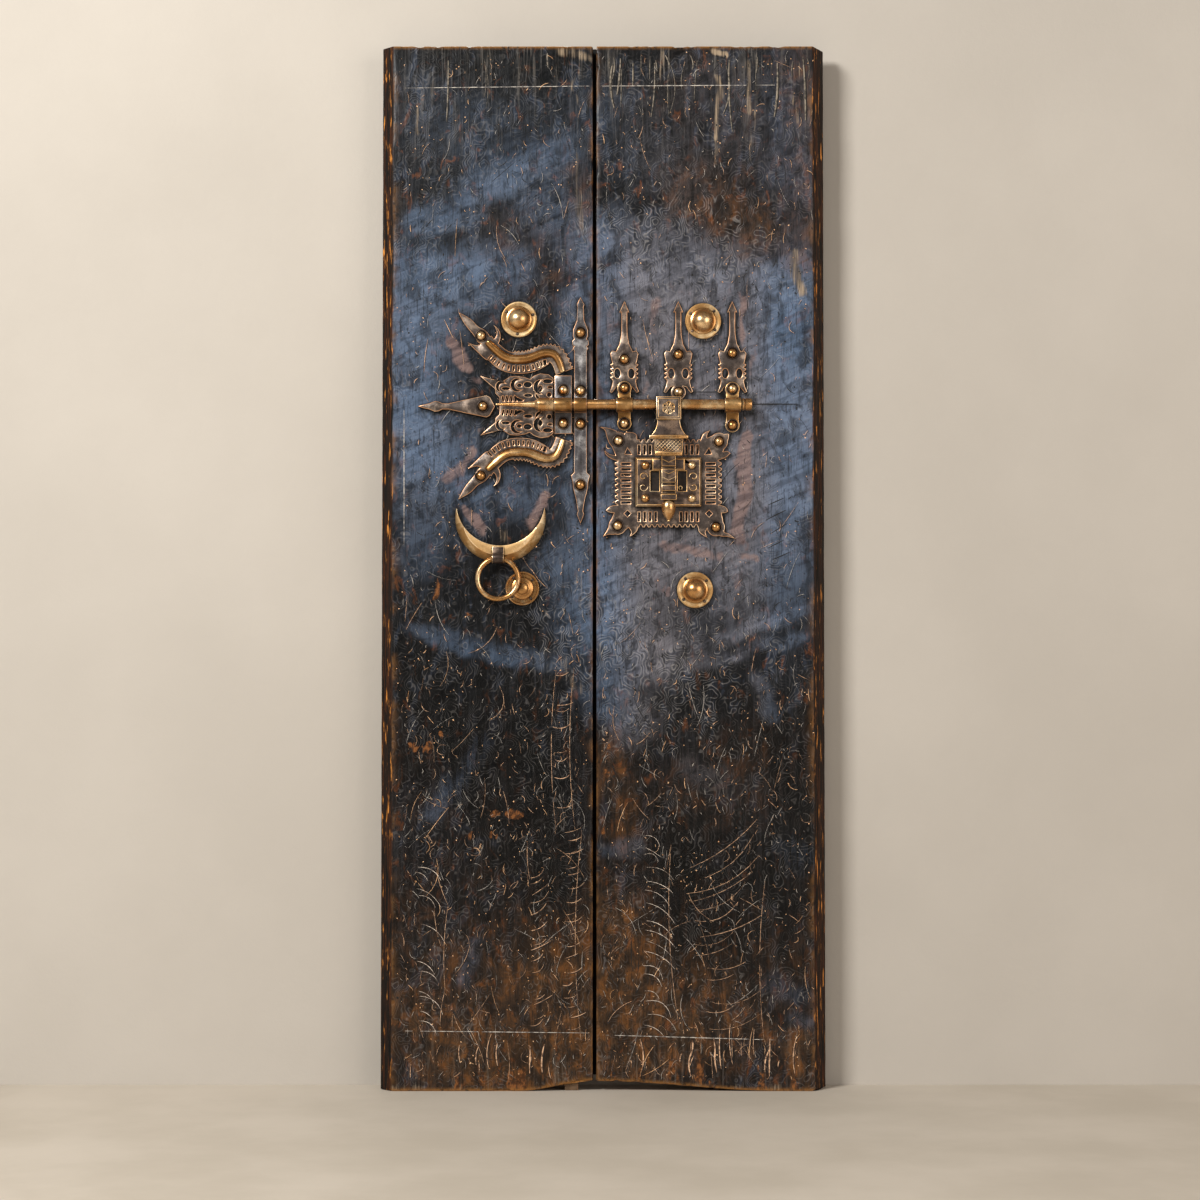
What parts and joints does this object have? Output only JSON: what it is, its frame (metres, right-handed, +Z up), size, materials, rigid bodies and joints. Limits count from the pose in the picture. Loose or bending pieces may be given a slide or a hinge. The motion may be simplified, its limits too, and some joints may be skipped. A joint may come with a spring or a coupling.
{
  "type": "double leaf plank door",
  "caption": "Double plank door with worn lacquered leaves, sliding bolt, hinged hasp over a pierced lock plate, serpent and spear ironwork, bosses and a ring pull.",
  "frame": {"origin": "middle of the footprint, on the floor", "axes": "+Z up, +X to the right seen from the front, the front with the bolt faces -Y"},
  "size_m": [0.852, 0.115, 2],
  "materials": {
    "lacquered_wood": "old dark lacquer, worn and scratched, satin",
    "raw_wood": "bare, rough",
    "iron": "wrought, browned",
    "brass": "aged, worn bright"
  },
  "bodies": {
    "root": {"left_leaf": "lacquered_wood", "right_leaf": "lacquered_wood", "left_ledges": "raw_wood", "right_ledges": "raw_wood", "foot_peg": "raw_wood", "ledge_nails": "iron", "upper_serpent_plate": "iron", "lower_serpent_plate": "iron", "foliage_plate": "iron", "left_spear": "iron", "short_keeper": "iron", "long_keeper": "iron", "inner_spear_plate": "iron", "middle_spear_plate": "iron", "outer_spear_plate": "iron", "lock_back_plate": "iron", "lock_case": "iron", "upper_left_boss": "brass", "upper_right_boss": "brass", "lower_right_boss": "brass", "knocker_boss": "brass", "boss_nails": "brass", "upper_serpent_bar": "brass", "lower_serpent_bar": "brass", "bolt_receiver": "brass", "inner_staple": "brass", "outer_staple": "brass", "keyhole_bush": "brass", "crescent_plate": "brass", "ring_staple": "brass", "left_rivets": "brass", "left_washers": "brass", "right_rivets": "brass", "right_washers": "brass", "lock_case_rivets": "brass"},
    "bolt": {"bolt_rod": "brass", "bolt_end": "brass"},
    "hasp": {"hasp": "iron", "hasp_staple": "iron", "hasp_knob": "brass"},
    "ring": {"pull_ring": "brass"}
  },
  "joints": [
    {"name": "bolt_slide", "type": "slide", "parent": "root", "child": "bolt", "axis": [1, 0, 0], "range_m": [0, 0.08]},
    {"name": "hasp_hinge", "type": "hinge", "parent": "bolt", "child": "hasp", "pos_m": [0.124, -0.0445, 1.306], "axis": [-1, 0, 0], "range_deg": [-2.5, 150]},
    {"name": "ring_hinge", "type": "hinge", "parent": "root", "child": "ring", "pos_m": [-0.201, -0.0405, 1.0126], "axis": [-1, 0, 0], "range_deg": [0, 150]}
  ]
}
